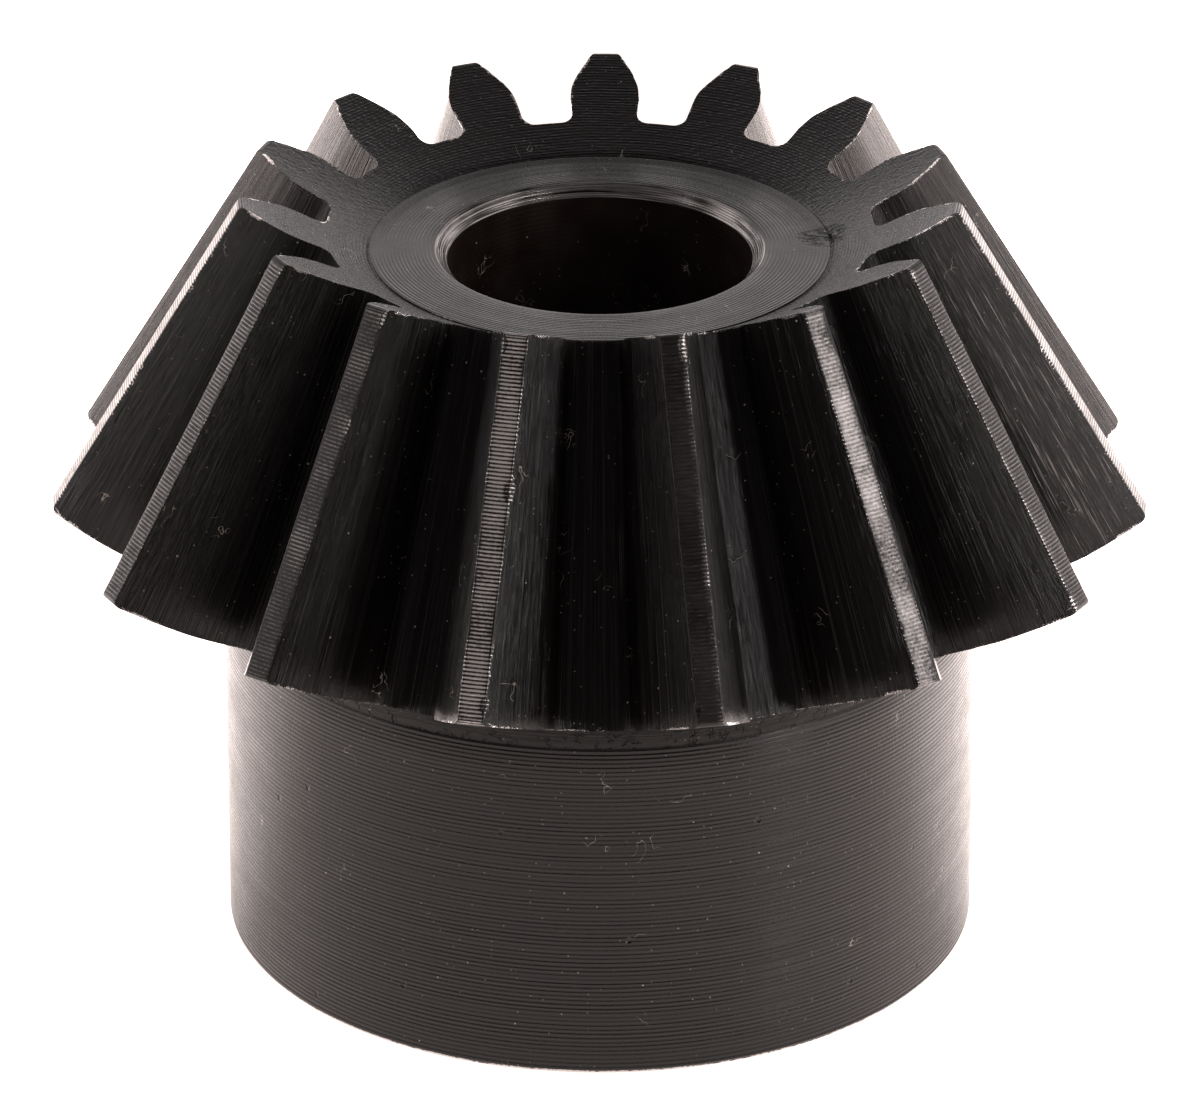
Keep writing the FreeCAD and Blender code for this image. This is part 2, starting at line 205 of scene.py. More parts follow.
class Section:
    """Half of the tooth's section at one station, on that station's unrolled back cone.

    Points are (sideways, outward), from the middle of the tip to the middle of the gap.
    """

    def __init__(self, distance):
        share = distance / FACE_WIDTH
        module = MODULE * (1 - distance / CONE_DISTANCE)
        self.tip = (HEEL_RADIUS + (TOE_RADIUS - HEEL_RADIUS) * share) / COS
        self.root = self.tip - WHOLE_DEPTH * module
        self.top = self.tip - tip_drop(distance)
        corner = ((HEEL_LAND + (TOE_LAND - HEEL_LAND) * share) / 2, self.tip)
        shoulder = (SHOULDER_HALF * module, self.tip - SHOULDER_DEPTH * module)
        self.widest = (WIDEST_HALF * module, self.tip - WIDEST_DEPTH * module)
        self.cx, self.cy, self.radius = circle_through(corner, shoulder, self.widest)
        self.fillet = ROOT_FILLET * module
        self.waist_half = WAIST_HALF * module
        self.lower = self.neck_and_root()

    def on_arc(self, angle, lift=0.0):
        reach = self.radius + lift
        return self.cx + reach * math.cos(angle), self.cy + reach * math.sin(angle)

    def neck_and_root(self):
        height, centre, slope = waist(self.root, self.fillet, self.waist_half, self.widest)
        points = []
        for n in range(1, NECK_COLUMNS + 1):
            share = n / NECK_COLUMNS
            points.append((self.widest[0] + (self.waist_half - self.widest[0]) * share,
                           self.widest[1] + (height - self.widest[1]) * share))
        foot = math.atan2(centre[0], centre[1])
        first, last = math.pi - slope, 1.5 * math.pi - foot
        for n in range(1, FILLET_COLUMNS + 1):
            angle = first + (last - first) * n / FILLET_COLUMNS
            points.append((centre[0] + self.fillet * math.cos(angle),
                           centre[1] + self.fillet * math.sin(angle)))
        for n in range(1, ROOT_COLUMNS + 1):
            angle = foot + (HALF_PITCH - foot) * n / ROOT_COLUMNS
            points.append((self.root * math.sin(angle), self.root * math.cos(angle)))
        return points

    def upper(self, edge, ridge):
        """The tip, its broken edge of that size and the first point of the flank."""
        start = math.asin((self.top - self.cy) / self.radius)
        corner = self.on_arc(start)
        foot = self.on_arc(start - edge / self.radius)
        land = corner[0] - edge
        points = []
        for n in range(LAND_COLUMNS + 1):
            x = land * n / LAND_COLUMNS
            points.append((x, math.sqrt(self.top ** 2 - x ** 2) + ridge))
        points[-1] = (points[-1][0], points[-1][1] - ridge / 2)
        last = points[-1]
        points.append(((last[0] + 2 * corner[0] + foot[0]) / 4,
                       (last[1] + 2 * corner[1] + foot[1]) / 4))
        points.append(foot)
        return points

    def flank(self, edge):
        """The flank below its first point, then the neck, the fillet and the root."""
        start = math.asin((self.top - self.cy) / self.radius) - edge / self.radius
        end = math.atan2(self.widest[1] - self.cy, self.widest[0] - self.cx)
        points = []
        for n in range(1, FLANK_COLUMNS + 1):
            points.append(self.on_arc(start + (end - start) * n / FLANK_COLUMNS))
        points += self.lower
        first = FLANK_COLUMNS - 1 - SOFTENED
        last = FLANK_COLUMNS + NECK_COLUMNS - 2
        a, b, c = points[first], self.widest, points[last]
        for n in range(first + 1, last):
            t = (n - first) / (last - first)
            points[n] = tuple((1 - t) ** 2 * p + 2 * t * (1 - t) * q + t * t * r
                              for p, q, r in zip(a, b, c))
        return points


def on_cone(point, distance, tooth):
    """Where a point of a station's unrolled back cone is in the frame."""
    reach = math.hypot(*point)
    azimuth = math.atan2(point[0], point[1]) / COS + tooth * math.tau / TEETH
    height = APEX_HEIGHT - (CONE_DISTANCE - distance) / COS + reach * SIN
    return reach * COS * math.sin(azimuth), reach * COS * math.cos(azimuth), height


class Shell:
    """Vertices, faces, the zone of each face and the wear of each vertex."""

    def __init__(self):
        self.points, self.wear, self.faces, self.zones = [], [], [], []

    def vertex(self, point, wear=0.0):
        self.points.append(point)
        self.wear.append(wear)
        return len(self.points) - 1

    def face(self, corners, zone):
        self.faces.append(corners)
        self.zones.append(ZONES.index(zone))

    def strip(self, first, second, zone, closed=True):
        """Quads between two rows of as many vertices."""
        count = len(first)
        for n in range(count if closed else count - 1):
            m = (n + 1) % count
            self.face((first[n], first[m], second[m], second[n]), zone)


def edge_sizes(tooth, side, distances):
    """Size and brightness of a tip's broken edge at each station.

    The edge wanders, and a nick is dark but for its lower rim.
    """
    slow = smooth_noise(tooth * 7 + side, 0.9)
    quick = smooth_noise(tooth * 13 + side + 500, 0.16)
    nicks = [nick[2:] for nick in NICKS if nick[:2] == (tooth, side)]
    sizes, shines = [], []
    for distance in distances:
        shine = 1.0
        size = EDGE_ROUND + EDGE_RAGGED * (0.6 * slow(distance) + 0.4 * quick(distance))
        for place, half, depth, brightness in nicks:
            bump = 1 - ((distance - place) / half) ** 2
            size += depth * max(bump, 0.0) * (0.8 + 0.2 * quick(distance * 2))
            if bump > 0:
                rim = brightness < DARK_NICK and distance < place - RIM_START * half
                shine = RIM_WEAR if rim else brightness
        sizes.append(max(size, EDGE_LEAST))
        shines.append(shine)
    return sizes, shines


def crest_wear(tooth, station, distance):
    """How far the black is rubbed off the crest of a turned ridge."""
    if RIDGE_SHAPE[station % len(RIDGE_SHAPE)] < 1:
        return LAND_WEAR.get(tooth, 0.0)
    patch = 0.5 + 0.5 * smooth_noise(tooth + 300, 1.7)(distance)
    return CREST_WEAR.get(tooth, OTHER_CREST_WEAR) * (0.6 + 0.4 * patch)


def tip_wear(tooth, station, distance, column, side_wear, shine):
    """How far the black is rubbed off at a point of a tip or of its broken edge."""
    rubbed = crest_wear(tooth, station, distance)
    if column < LAND_COLUMNS:
        return rubbed
    amount = EDGE_WEAR[column - LAND_COLUMNS] * side_wear * shine
    if RIDGE_SHAPE[station % len(RIDGE_SHAPE)] < 1:
        amount *= DOTTED
    return max(CREST_SHARE * rubbed, amount)


def flank_wear(column, at_end):
    """How far the black is rubbed off where a flank and the root meet the end faces."""
    if not at_end or column >= GAP:
        return 0.0
    return END_WEAR if column < LAND_END + END_WEAR_COLUMNS else ROOT_WEAR


def ridge_lifts(tooth, distances):
    """Height of the turned ridges at each station of a tip."""
    depth = smooth_noise(tooth + 900, 0.4)
    count = FINE_PER_COARSE
    lifts = []
    for n in range(len(distances)):
        inside = count < n < len(distances) - 1 - count
        shape = RIDGE_SHAPE[n % len(RIDGE_SHAPE)] if inside else 0.0
        height = RIDGE_HEIGHT * RIDGE_FACTOR.get(tooth, 1.0) if inside else 0.0
        lifts.append((shape - 0.5) * height * (1 + RIDGE_VARIATION * depth(n * 0.13)))
    return lifts


def add_teeth(shell):
    """The toothed surface. Returns each tooth's columns at its two ends."""
    distances = station_distances()
    sections = [Section(distance) for distance in distances]
    last = len(distances) - 1
    grids = []
    for tooth in range(TEETH):
        grid = {}
        lifts = ridge_lifts(tooth, distances)
        side_wear = SIDE_WEAR.get(tooth, OTHER_SIDE_WEAR)
        for side in (-1, 1):
            edges, shines = edge_sizes(tooth, side, distances)
            burr = smooth_noise(tooth * 3 + side + 70, 0.35)
            for j, distance in enumerate(distances):
                upper = sections[j].upper(edges[j], lifts[j])
                for column, point in enumerate(upper):
                    if column == 0 and side == 1:
                        continue
                    wear = tip_wear(tooth, j, distance, column, side_wear[side], shines[j])
                    spot = on_cone((side * point[0], point[1]), distance, tooth)
                    grid[side * column, j] = shell.vertex(spot, wear)
                if j % FINE_PER_COARSE:
                    continue
                for n, point in enumerate(sections[j].flank(edges[j])):
                    column = LAND_END + 1 + n
                    if column == GAP and side == -1:
                        continue
                    at_end = j in (0, last)
                    lip = BURR * burr(n * 0.3) if at_end and column < FOOT else 0.0
                    spot = on_cone((side * (point[0] + lip), point[1]), distance, tooth)
                    grid[side * column, j] = shell.vertex(spot, flank_wear(column, at_end))
        grids.append(grid)
    for tooth, grid in enumerate(grids):
        for j in range(0, last + 1, FINE_PER_COARSE):
            grid[-GAP, j] = grids[tooth - 1][GAP, j]
        skin_tooth(shell, grid, last)
    return grids, last


def skin_tooth(shell, grid, last):
    """Faces of one tooth: fine ones on its tip, coarse ones on flanks and root."""
    for column in range(-LAND_END, LAND_END):
        land = -LAND_COLUMNS <= column < LAND_COLUMNS
        zone = "tip" if land else "edge"
        for j in range(last):
            shell.face((grid[column, j], grid[column + 1, j], grid[column + 1, j + 1],
                        grid[column, j + 1]), zone)
    for j in range(0, last, FINE_PER_COARSE):
        up = j + FINE_PER_COARSE
        for side in (-1, 1):
            top, below = side * LAND_END, side * (LAND_END + 1)
            fine = [grid[top, n] for n in range(j, up + 1)]
            shell.face((*fine, grid[below, up], grid[below, j]), "flank")
        for column in list(range(-GAP, -LAND_END - 1)) + list(range(LAND_END + 1, GAP)):
            shell.face((grid[column, j], grid[column + 1, j], grid[column + 1, up],
                        grid[column, up]), "flank")


def add_end(shell, grids, j, distance, zone):
    """The end faces of the teeth. Returns the closed row of vertices at their feet."""
    cells = 2 * LAND_END
    loop = []
    for tooth, grid in enumerate(grids):
        above = [grid[column, j] for column in range(-LAND_END, LAND_END + 1)]
        section = Section(distance)
        profile = section.flank(EDGE_ROUND)
        for column in range(LAND_END + 1, FOOT + 1):
            x, y = profile[column - LAND_END - 1]
            row = [grid[-column, j]]
            blend = (column - LAND_END) / (FOOT - LAND_END)
            for n in range(1, cells):
                sideways = x * (2 * n / cells - 1)
                arc = math.sqrt(x * x + y * y - sideways * sideways)
                outward = y + (arc - y) * blend
                row.append(shell.vertex(on_cone((sideways, outward), distance, tooth)))
            row.append(grid[column, j])
            shell.strip(above, row, zone, closed=False)
            above = row
        loop += [grid[column, j] for column in range(-GAP + 1, -FOOT)]
        loop += above
        loop += [grid[column, j] for column in range(FOOT + 1, GAP + 1)]
    return loop


def turned_profile():
    """The turned surfaces from the toe's root circle round to the heel's.

    Each entry is a radius, a height, the zone of the strip that leads to it and the
    wear of its edge.
    """
    slope = math.tan(PITCH_ANGLE)
    dish_foot = RING_HEIGHT - RING_STEP
    toe_root = (TOE_RADIUS / COS - WHOLE_DEPTH * MODULE * (1 - FACE_WIDTH / CONE_DISTANCE)) * COS
    heel_root = HEEL_RADIUS - WHOLE_DEPTH * MODULE * COS
    path = []

    def cone(start, end, count, zone, base_radius, base_height):
        for n in range(1, count + 1):
            radius = start + (end - start) * n / count
            path.append((radius, base_height + (radius - base_radius) * slope, zone, 0.0))

    cone(toe_root, RING_RADIUS + 0.10, 6, "dish", RING_RADIUS, dish_foot)
    path.append((RING_RADIUS + 0.05, dish_foot - 0.012, "dish", 0.0))
    path.append((RING_RADIUS + 0.01, dish_foot - 0.005, "dish", 0.0))
    path.append((RING_RADIUS - 0.005, RING_HEIGHT - 0.015, "ring", 0.8))
    path.append((RING_RADIUS - 0.03, RING_HEIGHT, "ring", 0.6))
    for n in range(1, 6):
        path.append((RING_RADIUS - 0.03 + (BORE_RADIUS + CHAMFER + 0.05 - RING_RADIUS)
                     * n / 5, RING_HEIGHT, "ring", 0.0))
    path.append((BORE_RADIUS + CHAMFER - 0.01, RING_HEIGHT - 0.012, "chamfer", 0.5))
    for n in range(1, 5):
        path.append((BORE_RADIUS + CHAMFER * (1 - n / 4), RING_HEIGHT - CHAMFER * n / 4,
                     "chamfer", 0.0))
    low, high = CHAMFER, RING_HEIGHT - CHAMFER
    for n in range(1, 13):
        path.append((BORE_RADIUS, high + (low - high) * n / 12, "bore", 0.0))
    path.append((BORE_RADIUS + CHAMFER / 2, CHAMFER / 2, "chamfer", 0.0))
    path.append((BORE_RADIUS + CHAMFER, 0.0, "chamfer", 0.0))
    for n in range(1, 5):
        path.append((BORE_RADIUS + CHAMFER + (HUB_RADIUS - HUB_EDGE - BORE_RADIUS - CHAMFER)
                     * n / 4, 0.0, "rear", 0.0))
    path.append((HUB_RADIUS - HUB_EDGE / 2 + 0.02, HUB_EDGE / 2 - 0.02, "hub", 1.7))
    path.append((HUB_RADIUS, HUB_EDGE, "hub", 0.5))
    path.append((HUB_RADIUS, HUB_EDGE + 0.04, "hub", 0.0))
    neck_z = TIP_HEIGHT - (HEEL_RADIUS - HUB_RADIUS - NECK_RADIUS) * slope - NECK_RADIUS / COS
    for n in range(1, 13):
        path.append((HUB_RADIUS, HUB_EDGE + (neck_z - HUB_EDGE) * n / 12, "hub", 0.0))
    path[-1] = (HUB_RADIUS, neck_z - 0.10, "hub", 0.0)
    path.append((HUB_RADIUS - 0.02, neck_z - 0.05, "hub", 0.0))
    path.append((HUB_RADIUS - 0.01, neck_z, "neck", 0.0))
    sweep = math.pi / 2 - PITCH_ANGLE
    for n in range(1, 9):
        turn = math.pi - sweep * n / 8
        path.append((HUB_RADIUS + NECK_RADIUS * (1 + math.cos(turn)),
                     neck_z + NECK_RADIUS * math.sin(turn), "neck", 0.0))
    cone(path[-1][0], heel_root, 3, "rear", HEEL_RADIUS, TIP_HEIGHT)
    return path


def add_turned(shell, toe_loop, heel_loop):
    """Strips round the axis, from the loop at the toe to the loop at the heel."""
    azimuths = [math.atan2(shell.points[v][0], shell.points[v][1]) for v in toe_loop]
    path = turned_profile()
    above = toe_loop
    for radius, height, zone, wear in path[:-1]:
        row = [shell.vertex((radius * math.sin(a), radius * math.cos(a), height), wear)
               for a in azimuths]
        shell.strip(above, row, zone)
        above = row
    shell.strip(above, heel_loop, path[-1][2])


def gear_piece():
    """The gear as one closed mesh object in metres."""
    shell = Shell()
    grids, last = add_teeth(shell)
    toe_loop = add_end(shell, grids, last, FACE_WIDTH, "dish")
    heel_loop = add_end(shell, grids, 0, 0.0, "rear")
    add_turned(shell, toe_loop, heel_loop)
    mesh = bpy.data.meshes.new("pinion")
    mesh.from_pydata((np.array(shell.points) * MM).tolist(), [], shell.faces)
    mesh.polygons.foreach_set("material_index", shell.zones)
    tip = ZONES.index("tip")
    mesh.polygons.foreach_set("use_smooth", [zone != tip for zone in shell.zones])
    wear = mesh.attributes.new("wear", "FLOAT", "POINT")
    wear.data.foreach_set("value", shell.wear)
    work = bmesh.new()
    work.from_mesh(mesh)
    bmesh.ops.recalc_face_normals(work, faces=work.faces)
    loose = [edge for edge in work.edges if len(edge.link_faces) != 2]
    if loose:
        raise ValueError(f"the gear's mesh has {len(loose)} open edges")
    work.to_mesh(mesh)
    work.free()
    mesh.set_sharp_from_angle(angle=SHARP_ANGLE)
    piece = bpy.data.objects.new("pinion", mesh)
    bpy.context.scene.collection.objects.link(piece)
    return piece


# ---------------------------------------------------------------- materials
BLACK = (0.0028, 0.0021, 0.0019, 1)   # the black at its deepest
STEEL = (0.0062, 0.0048, 0.0042, 1)   # blackened, oiled steel
GREY = (0.016, 0.0140, 0.0130, 1)     # where handling has rubbed the black thin
HUB_GREY = (0.0120, 0.0098, 0.0088, 1)
DISH_GREY = (0.0190, 0.0160, 0.0145, 1)
RING_GREY = (0.0105, 0.0088, 0.0084, 1)
REAR_GREY = (0.0105, 0.0088, 0.0080, 1)
BORE_BLACK, BORE_BROWN = (0.0085, 0.0050, 0.0040, 1), (0.0210, 0.0130, 0.0105, 1)
BARE = (0.62, 0.59, 0.57, 1)          # where the black has worn off an edge
DULL = (0.60, 0.575, 0.565, 1)        # metal that is rubbed but not bright
THIN = (0.36, 0.340, 0.330, 1)        # metal that still shows some black
SCORED = (0.024, 0.022, 0.021, 1)     # fine lines left along the flanks
SCRATCH = (0.075, 0.070, 0.067, 1)
DEEP_SCRATCH = (0.32, 0.30, 0.29, 1)
DUST = (0.42, 0.38, 0.33, 1)
HUB_FEED = 0.185                      # lathe feed on the hub, mm
SCRATCHED_PLACE = (16.6, -2.6, 14.2)  # on the most scratched flank, its height squeezed
SCRATCHED_SQUEEZE = 0.6               # which makes the scratched patch longer than wide
SCUFF_PLACE = (8.75, 1.1, 28.72)      # on the rim of the flat ring
OIL_IOR = 1.42                        # the oil film on the black gives the gloss
NECK_SHADE_SPECULAR = 0.33                  # low gloss: painted shade that darkens the neck's crease


class Graph:
    """A material's node tree, built with one call for each node."""

    def __init__(self, name):
        self.material = bpy.data.materials.new(name)
        self.material.use_nodes = True
        self.tree = self.material.node_tree
        self.tree.nodes.clear()
        coordinates = self.node("ShaderNodeTexCoord")
        scaled = self.node("ShaderNodeVectorMath", {0: coordinates.outputs["Object"]},
                           operation="SCALE")
        scaled.inputs["Scale"].default_value = 1 / MM
        self.place = scaled.outputs[0]
        parts = self.node("ShaderNodeSeparateXYZ", {0: self.place})
        self.x, self.y, self.z = parts.outputs
        self.azimuth = self.math("ARCTAN2", self.y, self.x)
        flat = self.vector(self.x, self.y, 0.0)
        self.radius = self.node("ShaderNodeVectorMath", {0: flat},
                                operation="LENGTH").outputs["Value"]

    def node(self, kind, inputs=None, **settings):
        made = self.tree.nodes.new(kind)
        for key, value in settings.items():
            setattr(made, key, value)
        for key, value in (inputs or {}).items():
            if isinstance(value, bpy.types.NodeSocket):
                self.tree.links.new(value, made.inputs[key])
            else:
                made.inputs[key].default_value = value
        return made

    def math(self, operation, first, second=0.0, third=0.0):
        inputs = {0: first, 1: second, 2: third}
        return self.node("ShaderNodeMath", inputs, operation=operation).outputs[0]

    def vector(self, x, y, z):
        return self.node("ShaderNodeCombineXYZ", {0: x, 1: y, 2: z}).outputs[0]

    def span(self, value, low, high, start=0.0, end=1.0):
        """The value's run from low to high, spread from start to end and held there."""
        inputs = {0: value, 1: low, 2: high, 3: start, 4: end}
        return self.node("ShaderNodeMapRange", inputs, clamp=True).outputs[0]

    def noise(self, vector, scale, detail=2.0, roughness=0.5):
        inputs = {"Vector": vector, "Scale": scale, "Detail": detail,
                  "Roughness": roughness}
        return self.node("ShaderNodeTexNoise", inputs).outputs[0]

    def stretched(self, x, y, z):
        """The place, in millimetres, with each direction multiplied."""
        return self.node("ShaderNodeVectorMath", {0: self.place, 1: (x, y, z)},
                         operation="MULTIPLY").outputs[0]

    def mix(self, share, first, second):
        made = self.node("ShaderNodeMix", {0: share}, data_type="RGBA")
        for socket, value in ((made.inputs[6], first), (made.inputs[7], second)):
            if isinstance(value, bpy.types.NodeSocket):
                self.tree.links.new(value, socket)
            else:
                socket.default_value = value
        return made.outputs[2]

    def wear(self):
        return self.node("ShaderNodeAttribute", attribute_name="wear").outputs["Fac"]

    def specks(self, scale, size, share):
        """Dust: small dots in a share of the cells of a grid of that many to the mm."""
        cells = self.node("ShaderNodeTexVoronoi", {"Vector": self.place, "Scale": scale})
        dot = self.span(cells.outputs["Distance"], size * 0.6, size, 1.0, 0.0)
        draw = self.node("ShaderNodeSeparateColor", {0: cells.outputs["Color"]})
        chosen = self.math("LESS_THAN", draw.outputs[0], share)
        return self.math("MULTIPLY", dot, chosen)

    def fibres(self, scale, share):
        """Lint: short curved hairs in a share of the cells of a coarse grid."""
        bend = self.node("ShaderNodeTexNoise", {"Vector": self.place, "Scale": 1.1})
        shift = self.node("ShaderNodeVectorMath", {0: bend.outputs["Color"],
                                                   1: (3.0, 3.0, 3.0)}, operation="MULTIPLY")
        bent = self.node("ShaderNodeVectorMath", {0: self.place, 1: shift.outputs[0]})
        line = self.math("ABSOLUTE", self.math("SUBTRACT",
                                               self.noise(bent.outputs[0], 0.9, 0.0), 0.5))
        hair = self.span(line, 0.004, 0.009, 1.0, 0.0)
        cells = self.node("ShaderNodeTexVoronoi", {"Vector": self.place, "Scale": scale})
        draw = self.node("ShaderNodeSeparateColor", {0: cells.outputs["Color"]})
        chosen = self.math("LESS_THAN", draw.outputs[0], share)
        near = self.span(cells.outputs["Distance"], 0.25, 0.35, 1.0, 0.0)
        return self.math("MULTIPLY", hair, self.math("MULTIPLY", chosen, near))

    def worn(self, limit, soft=0.2, fineness=6.0):
        """Bare metal, where the wear and a fine noise together pass the limit."""
        grain = self.noise(self.place, fineness, 2.0, 0.7)
        patches = self.noise(self.place, 0.55, 2.0)
        uneven = self.math("ADD", self.span(grain, 0.3, 0.7), self.span(patches, 0.3, 0.7))
        amount = self.math("MULTIPLY", self.wear(), uneven)
        return self.span(amount, limit, limit + soft)

    def surface(self, colour, roughness, height, depth, bare, metal=BARE):
        """Finishes the material. The height is from 0 to 1, over a depth in mm."""
        bump = self.node("ShaderNodeBump", {"Strength": 1.0, "Distance": depth * MM,
                                            "Height": height})
        shader = self.node("ShaderNodeBsdfPrincipled", {
            "Base Color": self.mix(bare, colour, metal), "Roughness": roughness,
            "Normal": bump.outputs[0], "IOR": OIL_IOR, "Metallic": bare})
        output = self.node("ShaderNodeOutputMaterial")
        self.tree.links.new(shader.outputs[0], output.inputs[0])
        return self.material

    def dusty(self, colour):
        dust = self.math("MAXIMUM", self.specks(1.6, 0.075, 0.24), self.fibres(0.6, 0.30))
        fine = self.math("MULTIPLY", self.specks(4.0, 0.15, 0.18), 0.35)
        dust = self.math("MAXIMUM", self.math("MULTIPLY", dust, 0.75), fine)
        return self.mix(dust, colour, DUST)


def turned(graph, across, pitch, wander=0.25):
    """Height of lathe marks across a turned surface: a helix with uneven grooves."""
    lap = graph.math("MULTIPLY", graph.azimuth, 1 / math.tau)
    turns = graph.math("ADD", graph.math("MULTIPLY", across, 1 / pitch), lap)
    uneven = graph.node("ShaderNodeTexNoise", {"W": turns, "Scale": 1.7, "Detail": 2.0},
                        noise_dimensions="1D").outputs[0]
    drift = graph.noise(graph.stretched(0.35, 0.35, 1.2), 1.0, 1.0)
    phase = graph.math("ADD", turns, graph.math("MULTIPLY", drift, wander))
    wave = graph.math("SINE", graph.math("MULTIPLY", phase, math.tau))
    groove = graph.span(wave, -1.0, 1.0)
    return graph.math("ADD", graph.math("MULTIPLY", groove, 0.55),
                      graph.math("MULTIPLY", uneven, 0.45))


def hub_material():
    graph = Graph("hub")
    marks = turned(graph, graph.z, HUB_FEED, 0.12)
    mottle = graph.noise(graph.stretched(0.5, 0.5, 1.3), 1.0, 4.0, 0.65)
    grit = graph.noise(graph.place, 9.0, 2.0, 0.6)
    pits = graph.specks(0.8, 0.12, 0.13)
    height = graph.math("SUBTRACT", marks, graph.math("MULTIPLY", pits, 1.5))
    height = graph.math("ADD", height, graph.math("MULTIPLY", grit, 0.3))
    tone = graph.math("MULTIPLY", graph.span(mottle, 0.35, 0.7),
                      graph.span(marks, 0.35, 0.75))
    colour = graph.mix(tone, BLACK, HUB_GREY)
    roughness = graph.span(mottle, 0.3, 0.75, 0.20, 0.34)
    return graph.surface(graph.dusty(colour), roughness, height, 0.031, graph.worn(0.9))


def neck_material():
    graph = Graph("neck")
    marks = turned(graph, graph.radius, 0.12, 0.6)
    rough = graph.noise(graph.stretched(0.8, 0.8, 4.0), 1.0, 4.0, 0.7)
    pits = graph.span(graph.noise(graph.place, 2.0, 3.0, 0.6), 0.34, 0.44)
    height = graph.math("ADD", graph.math("ADD", marks, rough),
                        graph.math("MULTIPLY", pits, 2.0))
    colour = graph.mix(graph.span(rough, 0.4, 0.7), BLACK, STEEL)
    material = graph.surface(graph.dusty(colour), 0.42, height, 0.065, graph.worn(0.9))
    # a lowered specular level darkens the neck: painted shade in the crease where the hub meets
    # the back of the teeth
    shader = [n for n in graph.tree.nodes if n.type == "BSDF_PRINCIPLED"][0]
    shader.inputs["Specular IOR Level"].default_value = NECK_SHADE_SPECULAR
    return material


def streaks(graph, fineness, along=0.0002):
    """Marks that run along the teeth: noise of the direction from the cones' apex."""
    reach = graph.math("SUBTRACT", APEX_HEIGHT, graph.z)
    side = graph.math("DIVIDE", graph.x, reach)
    front = graph.math("DIVIDE", graph.y, reach)
    slow = graph.math("MULTIPLY", graph.z, along)
    return graph.noise(graph.vector(side, front, slow), fineness, 3.0, 0.65)


def flank_material():
    graph = Graph("flank")
    fine = graph.span(streaks(graph, 620.0, 0.00012), 0.3, 0.7)
    broad = streaks(graph, 170.0)
    grit = graph.noise(graph.place, 8.0, 2.0, 0.6)
    patches = graph.noise(graph.stretched(0.22, 0.22, 0.12), 1.0, 2.0)
    squeezed = graph.stretched(1.0, 1.0, SCRATCHED_SQUEEZE)
    away = graph.node("ShaderNodeVectorMath", {0: squeezed, 1: SCRATCHED_PLACE},
                      operation="DISTANCE").outputs["Value"]
    near = graph.math("MULTIPLY", graph.span(away, 3.5, 6.0, 1.0, 0.0),
                      graph.span(patches, 0.36, 0.48))
    scratched = graph.math("MAXIMUM", graph.span(patches, 0.57, 0.72), near)
    lines = graph.span(streaks(graph, 520.0, 0.00022), 0.57, 0.66)
    scratches = graph.math("MULTIPLY", scratched, lines)
    height = graph.math("ADD", graph.math("MULTIPLY", fine, 0.5),
                        graph.math("MULTIPLY", broad, 1.2))
    height = graph.math("ADD", height, graph.math("MULTIPLY", grit, 0.08))
    height = graph.math("SUBTRACT", height, graph.math("MULTIPLY", scratches, 0.8))
    tone = graph.math("MULTIPLY", graph.span(broad, 0.40, 0.62), graph.span(fine, 0.4, 1.0))
    colour = graph.mix(tone, BLACK, SCORED)
    colour = graph.mix(scratches, colour, SCRATCH)
    dashes = graph.span(streaks(graph, 520.0, 0.0006), 0.60, 0.66)
    colour = graph.mix(graph.math("MULTIPLY", near, dashes), colour, DEEP_SCRATCH)
    roughness = graph.span(fine, 0.0, 1.0, 0.09, 0.22)
    bare = graph.worn(1.0, 0.25, 14.0)
    return graph.surface(graph.dusty(colour), roughness, height, 0.030, bare)


def tip_material():
    graph = Graph("tip")
    grain = graph.noise(graph.stretched(2.0, 2.0, 6.0), 1.0, 3.0, 0.6)
    grit = graph.noise(graph.place, 11.0, 2.0, 0.6)
    patches = graph.noise(graph.place, 0.35, 2.0)
    height = graph.math("ADD", grain, grit)
    colour = graph.mix(graph.span(patches, 0.4, 0.65), STEEL, GREY)
    bare = graph.worn(0.12, 0.9, 9.0)
    roughness = graph.math("ADD", graph.span(grain, 0.3, 0.7, 0.26, 0.42),
                           graph.math("MULTIPLY", bare, 0.25))
    return graph.surface(colour, roughness, height, 0.010, bare, DULL)


def edge_material():
    graph = Graph("edge")
    grit = graph.noise(graph.place, 8.0, 3.0, 0.7)
    colour = graph.mix(graph.span(grit, 0.4, 0.65), STEEL, GREY)
    roughness = graph.span(grit, 0.3, 0.7, 0.22, 0.4)
    return graph.surface(colour, roughness, grit, 0.03, graph.worn(0.85, 0.2, 9.0))


def dish_material():
    graph = Graph("dish")
    marks = turned(graph, graph.radius, 0.13, 1.6)
    mottle = graph.noise(graph.place, 0.6, 4.0, 0.65)
    grit = graph.noise(graph.stretched(1.0, 3.0, 3.0), 2.2, 3.0, 0.65)
    height = graph.math("ADD", graph.math("MULTIPLY", marks, 0.6),
                        graph.math("MULTIPLY", graph.span(grit, 0.3, 0.7), 0.45))
    height = graph.math("SUBTRACT", height, scuffs(graph))
    tone = graph.math("MULTIPLY", graph.span(mottle, 0.3, 0.7), graph.span(marks, 0.0, 1.4))
    colour = graph.mix(tone, BLACK, DISH_GREY)
    roughness = graph.span(mottle, 0.3, 0.75, 0.11, 0.22)
    return graph.surface(graph.dusty(colour), roughness, height, 0.031, graph.worn(0.95))


